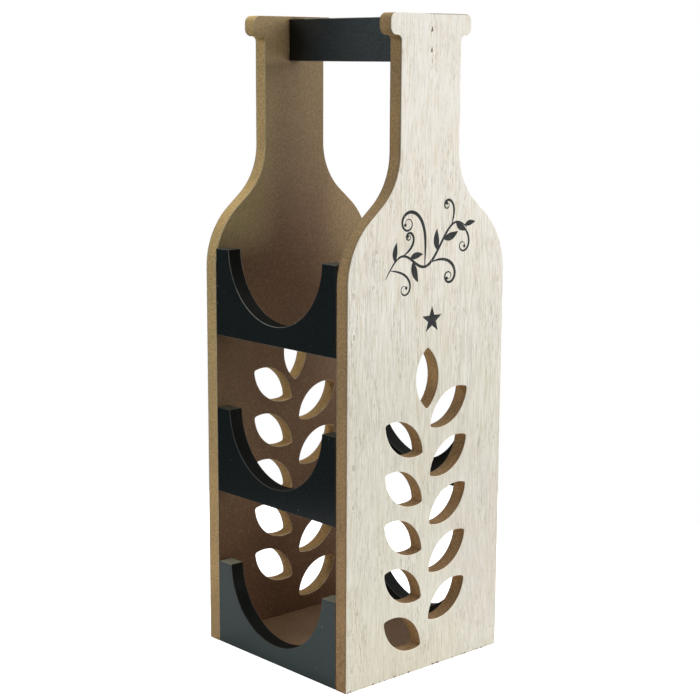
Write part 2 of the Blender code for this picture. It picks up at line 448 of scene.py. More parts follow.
class NodeCanvas:
    """Adds nodes to one node tree and joins them."""

    def __init__(self, tree: Tree) -> None:
        """Keep the tree that the nodes go into."""
        self.tree = tree

    def fill(self, node: Node, feeds: Feeds) -> Node:
        """Feed a node's inputs.

        Args:
            node: the node.
            feeds: a signal or a plain value for each input, by name or number.

        Returns:
            The node.
        """
        for key, feed in feeds.items():
            socket = node.inputs[key]
            if isinstance(feed, Signal):
                self.tree.links.new(feed.socket, socket)
            else:
                socket.default_value = (*feed, 1.0) if socket.type == "RGBA" else feed
        return node

    def add(self, kind: str, feeds: Feeds, **settings: object) -> Node:
        """Add a node.

        Args:
            kind: the node's type.
            feeds: what goes into its inputs.
            **settings: the node's own properties.

        Returns:
            The new node.
        """
        node = self.tree.nodes.new(kind)
        for name, value in settings.items():
            setattr(node, name, value)
        return self.fill(node, feeds)

    def read(self, kind: str, feeds: Feeds, output: str | int = 0, **settings: object) -> Signal:
        """Add a node and return one of its outputs, by name or number."""
        return Signal(self, self.add(kind, feeds, **settings).outputs[output])

    def signals(self, node: Node) -> dict[str, Signal]:
        """Return all the outputs of a node, by name."""
        return {socket.name: Signal(self, socket) for socket in node.outputs}

    def parts(self, vector: Feed) -> tuple[Signal, ...]:
        """Return the X, Y and Z of a vector."""
        return tuple(self.signals(self.add("ShaderNodeSeparateXYZ", {0: vector})).values())

    def calc(self, operation: str, first: Feed, second: Feed = 0.0) -> Signal:
        """Return the result of a Math node."""
        return self.read("ShaderNodeMath", {0: first, 1: second}, operation=operation)

    def mix(self, amount: Feed, under: Feed, over: Feed, mode: str = "MIX") -> Signal:
        """Return one colour laid over another, as far as the amount says."""
        feeds = {0: amount, 6: under, 7: over}
        return self.read("ShaderNodeMix", feeds, 2, data_type="RGBA", blend_type=mode)

    def noise(self, vector: Feed, scale: Feed, detail: float = 2.0, distortion: float = 0.0) -> Signal:
        """Return a noise pattern from its features a metre, its finer layers and its waviness."""
        feeds = {"Vector": vector, "Scale": scale, "Detail": detail, "Distortion": distortion}
        return self.read("ShaderNodeTexNoise", feeds)

    def streaks(self, vector: Feed, scales: Triple, detail: float = 2.0) -> Signal:
        """Return a noise pattern with its own number of features a metre along each axis."""
        stretched = self.read("ShaderNodeVectorMath", {0: vector, 1: scales}, operation="MULTIPLY")
        return self.noise(stretched, 1.0, detail)


class Surface(NodeCanvas):
    """A canvas on a new material's nodes, which knows the place on the object and the normal there."""

    def __init__(self, name: str) -> None:
        """Make the material.

        Args:
            name: the material's name.
        """
        self.material = bpy.data.materials.new(name)
        self.material.use_nodes = True
        super().__init__(self.material.node_tree)
        self.place = self.read("ShaderNodeTexCoord", {}, "Object")

    @cached_property
    def at(self) -> tuple[Signal, ...]:
        """The place on the object, part by part."""
        return self.parts(self.place)

    @cached_property
    def normal(self) -> tuple[Signal, ...]:
        """The direction that the surface looks in, part by part."""
        return self.parts(self.read("ShaderNodeNewGeometry", {}, "Normal"))

    def effect(self, group: Tree, **feeds: Feed) -> dict[str, Signal]:
        """Place a shared node group, read at the place on the object, and return its outputs."""
        feeds = {"Vector": self.place, **feeds}
        return self.signals(self.add("ShaderNodeGroup", feeds, node_tree=group))

    def bumps(self, height: Signal, depth: float) -> Signal:
        """Return the normal that bumps make, from their height of 0 to about 1 and their depth."""
        return self.read("ShaderNodeBump", {"Strength": 1.0, "Distance": depth, "Height": height})

    def dressed(self, feeds: Feeds) -> Material:
        """Feed the material's shader and return the material."""
        self.fill(self.tree.nodes["Principled BSDF"], feeds)
        return self.material


class Effects:
    """The shader node groups that the finishes share, each built on its first use."""

    @staticmethod
    def _open(name: str, **takes: float | None) -> tuple[NodeCanvas, dict[str, Signal]]:
        """Start a node group.

        Args:
            name: the group's name.
            **takes: its inputs with their usual values, None for a vector.

        Returns:
            A canvas on the group, and its inputs by name.
        """
        canvas = NodeCanvas(bpy.data.node_groups.new(name, "ShaderNodeTree"))
        for label, usual in takes.items():
            kind = "NodeSocketVector" if usual is None else "NodeSocketFloat"
            socket = canvas.tree.interface.new_socket(name=label, in_out="INPUT", socket_type=kind)
            if usual is not None:
                socket.default_value = usual
        return canvas, canvas.signals(canvas.add("NodeGroupInput", {}))

    @staticmethod
    def _close(canvas: NodeCanvas, **gives: Signal) -> Tree:
        """Finish a node group.

        Args:
            canvas: the canvas on the group.
            **gives: its outputs, all plain values.

        Returns:
            The group.
        """
        for label in gives:
            canvas.tree.interface.new_socket(name=label, in_out="OUTPUT", socket_type="NodeSocketFloat")
        canvas.add("NodeGroupOutput", gives)
        return canvas.tree

    @cached_property
    def mottle(self) -> Tree:
        """Soft cloudy variation.

        Returns:
            The group, with Vector and Size in and Value out.
        """
        canvas, taken = self._open("mottle", Vector=None, Size=0.02)
        cloud = canvas.noise(taken["Vector"], 1.0 / taken["Size"], 3.0)
        return self._close(canvas, Value=cloud.ramp(0.3, 0.7))

    @cached_property
    def rubbed_rim(self) -> Tree:
        """Rims where a finish has rubbed thin, in patches.

        Returns:
            The group, with Vector, Axis and Patch, the patches' size, in and Mask out.
        """
        canvas, taken = self._open("rubbed_rim", Vector=None, Axis=None, Patch=0.01)
        normal = canvas.read("ShaderNodeNewGeometry", {}, "Normal")
        feeds = {0: normal, 1: taken["Axis"]}
        tilt = abs(canvas.read("ShaderNodeVectorMath", feeds, "Value", operation="DOT_PRODUCT"))
        patches = canvas.noise(taken["Vector"], 1.0 / taken["Patch"], 4.0).ramp(0.32, 0.56, 0.30, 1.0)
        return self._close(canvas, Mask=tilt.ramp(0.12, 0.40) * tilt.ramp(0.97, 0.80) * patches)

    @cached_property
    def board_fibre(self) -> Tree:
        """Pressed wood fibres.

        Returns:
            The group, with Vector and Size in and Grain, Light, Dark and Height out.
        """
        canvas, taken = self._open("board_fibre", Vector=None, Size=0.0013)
        vector, scale = taken["Vector"], 1.0 / taken["Size"]
        grain = canvas.noise(vector, scale, 1.0).ramp(0.32, 0.68)
        strands = canvas.noise(vector, scale, 3.0, 1.6)
        specks = canvas.noise(vector, scale * 1.7, 2.0, 0.6)
        light, dark = strands.ramp(0.56, 0.72), specks.ramp(0.42, 0.28)
        return self._close(canvas, Grain=grain, Light=light, Dark=dark, Height=strands + specks * 0.6)

    @cached_property
    def veneer_grain(self) -> Tree:
        """Upright wood grain.

        Returns:
            The group, with Vector in and Streak, Band, Pore and Height out.
        """
        canvas, taken = self._open("veneer_grain", Vector=None)
        sway = (canvas.streaks(taken["Vector"], (40.0, 14.0, 9.0)) - 0.5) * 0.006
        feeds = {0: taken["Vector"], 1: canvas.read("ShaderNodeCombineXYZ", {"Y": sway})}
        swayed = canvas.read("ShaderNodeVectorMath", feeds, operation="ADD")
        streak = canvas.streaks(swayed, (60.0, 1500.0, 80.0), 3.0)
        band = canvas.streaks(swayed, (30.0, 170.0, 7.0), 3.0)
        clusters = canvas.streaks(swayed, (30.0, 110.0, 24.0)).ramp(0.42, 0.66, 0.35, 1.0)
        pore = canvas.streaks(swayed, (60.0, 2200.0, 260.0), 1.0).ramp(0.56, 0.72) * clusters
        return self._close(canvas, Streak=streak, Band=band, Pore=pore, Height=streak - pore * 1.2)

    @cached_property
    def specks(self) -> Tree:
        """Scattered specks of dust.

        Returns:
            The group, with Vector, Spacing and Share in and Mask out.
        """
        canvas, taken = self._open("specks", Vector=None, Spacing=0.004, Share=0.2)
        feeds = {"Vector": taken["Vector"], "Scale": 1.0 / taken["Spacing"]}
        cells = canvas.signals(canvas.add("ShaderNodeTexVoronoi", feeds))
        chance = canvas.read("ShaderNodeSeparateColor", {0: cells["Color"]})
        chosen = canvas.calc("LESS_THAN", chance, taken["Share"])
        return self._close(canvas, Mask=cells["Distance"].ramp(0.10, 0.05) * chosen)

    @cached_property
    def saw_marks(self) -> Tree:
        """Slanted marks of a saw on a cut edge.

        Returns:
            The group, with Vector, Spacing and Slant in and Mask out.
        """
        canvas, taken = self._open("saw_marks", Vector=None, Spacing=0.0008, Slant=0.5)
        vector = taken["Vector"]
        x, _, z = canvas.parts(vector)
        along = z - x * taken["Slant"] + canvas.noise(vector, 220.0) * 0.0009
        ridges = canvas.calc("SINE", along * (2 * math.pi) / taken["Spacing"]).ramp(0.1, 1.0)
        breaks = canvas.noise(vector, 420.0, 1.0).ramp(0.36, 0.60, 0.15, 1.0)
        patches = canvas.noise(vector, 45.0).ramp(0.42, 0.66, 0.10, 0.60).most(z.ramp(0.045, 0.025))
        return self._close(canvas, Mask=ridges * breaks * patches)


@dataclass(frozen=True)
class Finish:
    """What every finish has: a name, a roughness and the depth of its bumps."""

    name: str
    roughness: float
    bump: float

    def build(self, effects: Effects) -> Material:
        """Build the material; each finish does this in its own way."""
        raise NotImplementedError


@dataclass(frozen=True)
class BareFibreboard(Finish):
    """Bare pressed fibreboard: smooth speckled faces, and paler cut edges with saw marks, with painted shade
    and painted light in places.
    """

    facing: Facing
    inner_face: float
    outer_face: float
    face_low: Triple = (0.229, 0.128, 0.064)
    face_high: Triple = (0.25, 0.167, 0.08)
    # Olive band near the upper outline of the inner faces, made stronger at the front as painted light.
    face_olive_painted_light: Triple = (0.425, 0.328, 0.154)
    # Painted light beside the handle's front, where the handle casts its shadow.
    face_painted_light: Triple = (0.52, 0.37, 0.19)
    # Painted shade: the darker, redder tone of the inner faces low down.
    face_shade: Triple = (0.6, 0.46, 0.33)
    edge_skin: Triple = (0.55, 0.397, 0.238)
    edge_heart: Triple = (0.785, 0.53, 0.253)
    face_fibre: Triple = (0.42, 0.31, 0.175)
    edge_fibre: Triple = (0.8, 0.6, 0.33)
    fibre_dark: Triple = (0.07, 0.042, 0.022)
    # A darker tone for the grain, also used for painted shade.
    shade: Triple = (0.56, 0.52, 0.45)
    low_tint: Triple = (0.89, 0.83, 0.83)
    # Painted shade on cut edges that face upwards, against the strong light from above.
    top_painted_shade: Triple = (0.68, 0.69, 0.71)
    arris: Triple = (0.86, 0.74, 0.54)
    mark: Triple = (0.21, 0.125, 0.058)
    # How strongly painted shade darkens the cut walls of the openings.
    inside_shade: float = 0.18
    heart_share: float = 0.6
    glue_depth: float = 0.0007
    fibre_strength: float = 0.3
    dust_strength: float = 0.35
    mark_depth: float = 0.6
    face_polish: float = 0.22
    gloss: float = 0.35

    def face(self, surface: Surface, cloud: Signal) -> Signal:
        """Return the colour of the pressed faces: dark and reddish low down as painted shade, olive further
        up, with painted shade at the rear and painted light at the front and by the handle.

        Args:
            surface: the material's canvas.
            cloud: soft variation from 0 to 1.

        Returns:
            The colour.
        """
        _, y, z = surface.at
        # Olive band along the upper front and rear of the inner faces: a real tone, made stronger at the
        # front as painted light.
        front = y.ramp(-0.004, -0.045) * z.ramp(0.222, 0.25)
        rear = y.ramp(0.012, 0.045, 0.0, 0.42) * z.ramp(0.2, 0.235)
        olive = front.most(rear)
        # Painted light on the inner face just in front of the handle, where its shadow falls.
        handle_painted_light = y.ramp(0.0, -0.007) * z.ramp(0.3375, 0.343)
        between = z.ramp(0.03, 0.07) * z.ramp(0.225, 0.195)
        # Painted shade: darker towards the rear of the lower tiers and in the middle of the shoulder.
        shoulder = z.ramp(0.195, 0.225) * z.ramp(0.33, 0.29) * olive.ramp(0.0, 0.45, 0.34, 0.0)
        painted_shade = y.ramp(-0.01, 0.04, 0.0, 0.22) * between + shoulder
        # Soft cloudy variation, plus painted shade that deepens towards the bottom.
        cloud_and_low_shade = cloud * 0.12 + z.ramp(0.13, 0.04, 0.0, 0.88)
        colour = surface.mix(z.ramp(0.24, 0.3), self.face_low, self.face_high)
        colour = colour.mix(olive, self.face_olive_painted_light).mix(handle_painted_light, self.face_painted_light)
        # Painted light: paler towards the open front of the lower tiers.
        colour = colour.mix(y.ramp(-0.02, -0.05, 0.0, 0.12) * between, self.face_olive_painted_light)
        return colour.tint(painted_shade, self.shade).tint(cloud_and_low_shade, self.face_shade)

    def edge(self, surface: Surface, cloud: Signal, marks: Signal) -> Signal:
        """Return the colour of the cut edges: greyer at both skins, with saw marks, a dark line of glue, and
        painted shade in the openings and on upward faces.

        Args:
            surface: the material's canvas.
            cloud: soft variation from 0 to 1.
            marks: the mask of the saw marks.

        Returns:
            The colour.
        """
        _, y, z = surface.at
        depth = abs(surface.at[self.facing.value])
        middle = (self.inner_face + self.outer_face) / 2
        reach = (self.outer_face - self.inner_face) / 2
        heart = abs(depth - middle).ramp(reach, reach * self.heart_share)
        glue = depth.ramp(self.outer_face - self.glue_depth, self.outer_face - 0.0002, 0.0, 0.15)
        outside = abs(y).ramp(0.045, 0.055).most(z.ramp(0.2, 0.22))
        strength = marks * outside.ramp(0.0, 1.0, 0.22, 0.8)
        strength *= z.ramp(0.07, 0.04, 1.0, 1.6) * z.ramp(0.2, 0.25, 1.0, 0.5)
        colour = surface.mix(heart, self.edge_skin, self.edge_heart).mix(cloud * 0.25, self.edge_skin)
        # A dark line of glue, then painted shade on the walls of the openings.
        colour = colour.mix(glue, self.mark).tint(outside.ramp(1.0, 0.0, 0.0, self.inside_shade), self.shade)
        colour = colour.tint(z.ramp(0.21, 0.06), self.low_tint)
        # Painted shade on the upward-facing cut edges.
        colour = colour.tint(surface.normal[2].ramp(0.05, 0.55), self.top_painted_shade)
        return colour.mix(strength, self.mark)

    def build(self, effects: Effects) -> Material:
        """Build the material.

        Args:
            effects: the shared node groups.

        Returns:
            The material.
        """
        surface = Surface(self.name)
        on_face = abs(surface.normal[self.facing.value]).ramp(0.55, 0.85)
        cloud = surface.effect(effects.mottle, Size=0.022)["Value"]
        fibres = surface.effect(effects.board_fibre)
        marks = surface.effect(effects.saw_marks, Spacing=0.0013, Slant=-0.28)["Mask"]
        dust = surface.effect(effects.specks, Spacing=0.006, Share=0.25)["Mask"]
        rubbed = surface.effect(effects.rubbed_rim, Axis=self.facing.direction, Patch=0.005)["Mask"]
        worn = rubbed * surface.at[2].ramp(0.27, 0.23, 0.25, 0.75)

        fibre = surface.mix(on_face, self.edge_fibre, self.face_fibre)
        grain = (1.0 - fibres["Grain"]) * on_face.ramp(0.0, 1.0, 0.49, 0.44)
        colour = surface.mix(on_face, self.edge(surface, cloud, marks), self.face(surface, cloud))
        colour = colour.tint(grain, self.shade).mix(fibres["Light"] * self.fibre_strength, fibre)
        colour = colour.mix(fibres["Dark"] * self.fibre_strength, self.fibre_dark)
        colour = colour.mix(worn, self.arris).mix(dust * self.dust_strength, fibre)
        height = (1.35 - on_face) * fibres["Height"] - marks * self.mark_depth
        return surface.dressed({
            "Base Color": colour,
            "Roughness": on_face.ramp(0.0, 1.0, self.roughness, self.roughness - self.face_polish),
            "Specular IOR Level": self.gloss,
            "Normal": surface.bumps(height, self.bump),
        })


@dataclass(frozen=True)
class WhitewashedVeneer(Finish):
    """Pale wood veneer under a thin whitewash, with grey and warm streaks and dark pores, and painted shade
    low down and along the lip's top.
    """

    wash: Triple = (0.842, 0.8, 0.722)
    # Darker and yellower towards the bottom: a yellower tone with painted shade.
    low_tone_and_painted_light: Triple = (0.665, 0.638, 0.545)
    pale_streak: Triple = (0.93, 0.93, 0.9)
    warm_tint: Triple = (0.848, 0.79, 0.672)
    grey_tint: Triple = (0.778, 0.785, 0.785)
    rear_tint: Triple = (0.955, 0.935, 0.955)
    rim_tone: Triple = (0.96, 0.93, 0.82)
    # Painted shade: a dark line along the lip's top edge.
    lip_top_shade: Triple = (0.3, 0.25, 0.2)
    side_tone: Triple = (0.93, 0.79, 0.56)
    pore_tint: Triple = (0.47, 0.43, 0.39)
    speck: Triple = (0.2, 0.17, 0.14)
    chip: Triple = (0.11, 0.085, 0.065)
    pale_strength: float = 0.45
    cloud_strength: float = 0.3
    speck_strength: float = 0.55
    chip_height: Point = (0.0018, 0.0006)
    gloss: float = 0.35
    height: float = 0.366

    def build(self, effects: Effects) -> Material:
        """Build the material.

        Args:
            effects: the shared node groups.

        Returns:
            The material.
        """
        surface = Surface(self.name)
        _, y, z = surface.at
        full = self.height
        grain = surface.effect(effects.veneer_grain)
        streak, band = grain["Streak"], grain["Band"]
        cloud = surface.effect(effects.mottle, Size=0.045)["Value"]
        dust = surface.effect(effects.specks, Spacing=0.013, Share=0.3)["Mask"]

        rear = y.ramp(0.0, 0.04) * z.ramp(0.16, 0.08) * z.ramp(0.0, 0.045, 0.35, 1.0)
        lively = z.ramp(full * 0.15, full * 0.72, 0.42, 0.8)
        pale = streak.ramp(0.5, 0.66) * lively * self.pale_strength
        warm = streak.ramp(0.5, 0.34) * band.ramp(0.4, 0.58) * lively
        grey = streak.ramp(0.52, 0.36) * band.ramp(0.58, 0.4) * lively
        grey *= z.ramp(full * 0.7, full * 0.88, 1.0, 0.35)
        pores = grain["Pore"] * z.ramp(full * 0.85, full * 0.2, 0.62, 0.6)
        # Darker and yellower towards the bottom: painted shade with a yellower tone.
        colour = surface.mix(z.ramp(full * 0.79, full * 0.33), self.wash, self.low_tone_and_painted_light)
        colour = colour.tint(rear, self.rear_tint).mix(pale, self.pale_streak).tint(warm, self.warm_tint)
        colour = colour.tint(grey, self.grey_tint).tint(cloud * self.cloud_strength, self.warm_tint)
        colour = colour.tint(pores, self.pore_tint).mix(dust * self.speck_strength, self.speck)

        crumbs = surface.streaks(surface.place, (420.0, 420.0, 168.0), 1.0).ramp(0.6, 0.66)
        sideways = abs(surface.normal[0])
        # Painted shade: a dark line along the lip's top edge.
        lip_top_shade_line = z.ramp(full - 0.0008, full - 0.0003, 0.0, 0.75) * y.ramp(-0.012, 0.004)
        colour = colour.mix(crumbs * z.ramp(*self.chip_height), self.chip)
        colour = colour.mix(sideways.ramp(0.99, 0.9), self.rim_tone)
        colour = colour.mix(sideways.ramp(0.45, 0.25), self.side_tone).mix(lip_top_shade_line, self.lip_top_shade)
        return surface.dressed({
            "Base Color": colour,
            "Roughness": streak.ramp(0.3, 0.7, self.roughness + 0.08, self.roughness - 0.06),
            "Specular IOR Level": self.gloss,
            "Normal": surface.bumps(grain["Height"], self.bump),
        })


@dataclass(frozen=True)
class DarkPaint(Finish):
    """Blue-black paint: satin on the broad faces, dull on the cut edges, rubbed grey along the rims, with a
    painted reflection low down, painted sheen on the horn tops and painted shade at the handle's ends.
    """

    thick: Triple = (0.007, 0.0125, 0.0148)
    thin: Triple = (0.0225, 0.0305, 0.0315)
    # Greenish-blue on the bottom cradles: the paint's tone with a painted reflection of the white table.
    low_tone_and_painted_light: Triple = (0.009, 0.039, 0.038)
    rubbed: Triple = (0.34, 0.36, 0.33)
    routed_dark: Triple = (0.0038, 0.0045, 0.0036)
    routed_light: Triple = (0.0082, 0.0094, 0.0076)
    fibre: Triple = (0.09, 0.1, 0.095)
    fleck: Triple = (0.52, 0.52, 0.48)
    # Dust and bare fibre on the horn tops, with painted sheen, strongest on the bottom cradles.
    dust_and_sheen_colour: Triple = (0.3, 0.29, 0.205)
    bare_end: Triple = (0.07, 0.056, 0.035)
    bare_width: float = 0.001
    # Painted shade towards the left end, where the far panel blocks the light.
    left_painted_shade: float = 0.0
    coat_roughness: float = 0.16
    coat_index: float = 1.55
    gloss: float = 0.08
    fibre_strength: float = 0.05
    fleck_strength: float = 0.22
    horn: Point = (0.0385, 0.0398)
    horn_crown: Point = (0.038, 0.0393)
    end: float = 0.0515

    def build(self, effects: Effects) -> Material:
        """Build the material.

        Args:
            effects: the shared node groups.

        Returns:
            The material.
        """
        surface = Surface(self.name)
        x, _, z = surface.at
        across, end = abs(x), self.end
        broad, upward = abs(surface.normal[1]).ramp(0.8, 0.98), surface.normal[2]
        fibres = surface.effect(effects.board_fibre, Size=0.0012)
        grain = fibres["Grain"]
        rim = surface.effect(effects.rubbed_rim, Axis=Facing.ALONG.direction, Patch=0.016)["Mask"]
        dust = surface.effect(effects.specks, Spacing=0.005, Share=0.18)["Mask"]
        flecks = surface.effect(effects.specks, Spacing=0.0034, Share=0.5)["Mask"]

        # Paint on the broad faces and on the cut edges.
        thinness = grain * 0.5 + z.ramp(0.12, 0.19, 0.05, 0.55)
        # Greenish-blue low down: a painted reflection of the white table on the bottom cradles.
        flat = surface.mix(thinness, self.thick, self.thin).mix(z.ramp(0.1, 0.02, 0.0, 0.9), self.low_tone_and_painted_light)
        # Painted shade darkens the left end, where the far panel blocks the light.
        if self.left_painted_shade:
            flat = flat.mix(x.ramp(-end, 0.026, self.left_painted_shade, 0.0), self.routed_dark)
        colour = surface.mix(broad, surface.mix(grain, self.routed_dark, self.routed_light), flat)
        colour = colour.mix(fibres["Light"] * self.fibre_strength, self.fibre)

        # Dust and painted sheen on the horn tops, bare ends, rubbed rims and flecks, most of all beside the
        # panels.
        dust_and_sheen = upward.ramp(0.8, 0.97) * across.ramp(*self.horn) * z.ramp(0.06, 0.1, 0.85, 0.2)
        bare = across.ramp(end - self.bare_width, end - self.bare_width * 0.4, 0.0, 0.7)
        crown = upward.ramp(0.25, 0.55) * across.ramp(*self.horn_crown) * z.ramp(0.06, 0.1, 1.3, -0.55)
        # Rubbed rims are real wear, made paler on the top cradles as painted light, where little light
        # reaches between the panels.
        worn = rim * z.ramp(0.17, 0.2, 0.4, 1.0) * across.ramp(end - 0.0007, end - 0.0004, 1.0, 0.0)
        beside = across.ramp(end - 0.0026, end - 0.0014) * z.ramp(0.118, 0.124)
        colour = colour.mix(dust_and_sheen, self.dust_and_sheen_colour).mix(bare, self.bare_end)
        colour = colour.mix(worn * (crown + 1.0), self.rubbed).mix(dust * self.fleck_strength, self.fleck)
        colour = colour.mix((flecks * beside).ramp(0.12, 0.45), self.fleck)
        polish = z.ramp(0.06, 0.093, 1.0, 0.38) * z.ramp(0.0, 0.05, 1.0, 0.88)
        polish *= broad.ramp(0.0, 1.0, 0.02, 1.0)
        return surface.dressed({
            "Base Color": colour,
            "Roughness": grain.ramp(0.0, 1.0, self.roughness - 0.05, self.roughness + 0.05),
            "Coat Weight": polish,
            "Coat Roughness": self.coat_roughness,
            "Coat IOR": self.coat_index,
            "Specular IOR Level": self.gloss,
            "Normal": surface.bumps(fibres["Height"], self.bump),
        })


@dataclass(frozen=True)
class PrintInk(Finish):
    """Dark print, broken where the grain under it is open."""

    ink: Triple = (0.0105, 0.013, 0.014)
    worn: Triple = (0.062, 0.064, 0.062)
    wood: Triple = (0.62, 0.56, 0.47)
    wear: float = 0.35
    gloss: float = 0.25

    def build(self, effects: Effects) -> Material:
        """Build the material.

        Args:
            effects: the shared node groups.

        Returns:
            The material.
        """
        surface = Surface(self.name)
        grain = surface.effect(effects.veneer_grain)
        cloud = surface.effect(effects.mottle, Size=0.004)["Value"]
        colour = surface.mix(cloud * self.wear, self.ink, self.worn)
        return surface.dressed({
            "Base Color": colour.mix(grain["Streak"].ramp(0.64, 0.74, 0.0, 0.5), self.wood),
            "Roughness": self.roughness,
            "Specular IOR Level": self.gloss,
            "Normal": surface.bumps(grain["Height"], self.bump),
        })


@dataclass(frozen=True)
class TarnishedSteel(Finish):
    """Coated steel of the brads, dulled to dark brown-grey."""

    bright: Triple = (0.07, 0.062, 0.052)
    dull: Triple = (0.022, 0.018, 0.015)
    scuff: Triple = (0.26, 0.245, 0.22)
    metal: float = 0.9
    dulling: float = 0.2

    def build(self, effects: Effects) -> Material:
        """Build the material.

        Args:
            effects: the shared node groups.

        Returns:
            The material.
        """
        surface = Surface(self.name)
        cloud = surface.effect(effects.mottle, Size=0.0008)["Value"]
        scuffs = surface.effect(effects.specks, Spacing=0.0009, Share=0.4)["Mask"]
        return surface.dressed({
            "Base Color": surface.mix(cloud, self.dull, self.bright).mix(scuffs, self.scuff),
            "Metallic": self.metal,
            "Roughness": cloud.ramp(0.0, 1.0, self.roughness, self.roughness + self.dulling),
            "Normal": surface.bumps(cloud, self.bump),
        })


@dataclass(frozen=True)
class WashedFiller(Finish):
    """Wood filler over the cradle brads, whitewashed with the rest."""

    pale: Triple = (0.7, 0.66, 0.57)
    grey: Triple = (0.5, 0.455, 0.375)
    fibre_strength: float = 0.4

    def build(self, effects: Effects) -> Material:
        """Build the material.

        Args:
            effects: the shared node groups.

        Returns:
            The material.
        """
        surface = Surface(self.name)
        cloud = surface.effect(effects.mottle, Size=0.0016)["Value"]
        fibres = surface.effect(effects.board_fibre, Size=0.0005)
        colour = surface.mix(cloud, self.grey, self.pale)
        return surface.dressed({
            "Base Color": colour.mix(fibres["Dark"] * self.fibre_strength, self.grey),
            "Roughness": self.roughness,
            "Normal": surface.bumps(fibres["Height"], self.bump),
        })


@dataclass(frozen=True)
class BottleShape:
    """The outline of a side panel, the shape of a bottle cut off flat at its base and lip."""

    depth: float = 0.1195
    shoulder_start: float = 0.224
    shoulder_radius: float = 0.044
    shoulder_slope: float = math.radians(50)
    neck_radius: float = 0.037
    neck_width: float = 0.0446
    neck_length: float = 0.0613
    lip_width: float = 0.0604
    lip_height: float = 0.0115
    lip_corner: float = 0.0042
    lip_fillet: float = 0.003
    wide_step: float = math.radians(2)
    narrow_step: float = math.radians(7)
    corner_ease: float = 0.0003
    spacing: float = 0.003

    @property
    def neck_start(self) -> float:
        """The height where the straight neck starts.

        Returns:
            The height above the panel's foot.
        """
        turning = self.shoulder_radius + self.neck_radius
        narrowing = (self.depth - self.neck_width) / 2 - turning * (1 - math.cos(self.shoulder_slope))
        straight = narrowing / math.tan(self.shoulder_slope)
        return self.shoulder_start + turning * math.sin(self.shoulder_slope) + straight

    @property
    def lip_start(self) -> float:
        """The height of the lip's underside."""
        return self.neck_start + self.neck_length

    def outline(self) -> Loop:
        """Return the whole outline, anticlockwise from the foot of the right edge.

        Returns:
            The points, across and up the panel.
        """
        body, neck, lip = self.depth / 2, self.neck_width / 2, self.lip_width / 2
        quarter, slope, wide, narrow = math.pi / 2, self.shoulder_slope, self.wide_step, self.narrow_step
        shoulder, hollow = self.shoulder_radius, self.neck_radius
        fillet, corner = self.lip_fillet, self.lip_corner
        top = self.lip_start + self.lip_height
        half = [(body, 0.0)]
        half += arc((body - shoulder, self.shoulder_start), shoulder, 0.0, slope, wide)
        half += arc((neck + hollow, self.neck_start), hollow, math.pi + slope, math.pi, wide)
        half += arc((neck + fillet, self.lip_start - fillet), fillet, math.pi, quarter, narrow)
        half += arc((lip - corner, self.lip_start + corner), corner, -quarter, 0.0, narrow)
        half += arc((lip - corner, top - corner), corner, 0.0, quarter, narrow)
        whole = without_doubles(half + [(-across, up) for across, up in reversed(half)])
        return closely_spaced(eased_corners(whole, self.corner_ease), self.spacing)


@dataclass(frozen=True)
class LeafSprig:
    """The leaf-shaped openings of a panel, set alternately along an uncut stem."""

    pairs: int = 5
    pitch: float = 0.028
    first: float = 0.015
    length: float = 0.034
    width: float = 0.0175
    tip: float = 0.0016
    slant: float = math.radians(34)
    stem: float = 0.0064
    side_step: float = math.radians(4)
    tip_step: float = math.radians(15)

    def leaf(self, base: Point, direction: float) -> Loop:
        """Return one leaf: two wide arcs that meet in rounded tips.

        Args:
            base: the tip at the stem.
            direction: the angle that the leaf points in.

        Returns:
            The leaf's outline, anticlockwise.
        """
        side, reach = self.width / 2, self.length / 2 - self.tip
        radius = (reach**2 + side**2 - self.tip**2) / (2 * (side - self.tip))
        flank = radius - side
        lean = math.atan2(flank, reach)
        points = arc((0.0, -flank), radius, lean, math.pi - lean, self.side_step)
        points += arc((-reach, 0.0), self.tip, math.pi - lean, math.pi + lean, self.tip_step)
        points += arc((0.0, flank), radius, math.pi + lean, 2 * math.pi - lean, self.side_step)
        points += arc((reach, 0.0), self.tip, -lean, lean, self.tip_step)
        place = Matrix.Translation((*base, 0.0)) @ Matrix.Rotation(direction, 4, "Z")
        place @= Matrix.Translation((self.length / 2, 0.0, 0.0))
        return [tuple((place @ Vector((x, y, 0.0))).xy) for x, y in without_doubles(points)]

    def outlines(self) -> list[Loop]:
        """Return all the leaves of one panel, the one at the stem's end last.

        Returns:
            One outline a leaf.
        """
        leaves = []
        for index in range(self.pairs):
            for side, direction in ((1, self.slant), (-1, math.pi - self.slant)):
                up = self.first + index * self.pitch + (self.pitch / 2 if side > 0 else 0.0)
                leaves.append(self.leaf((side * self.stem / 2, up), direction))
        end = self.first + self.pairs * self.pitch - self.stem / 2
        return leaves + [self.leaf((0.0, end), math.pi / 2)]


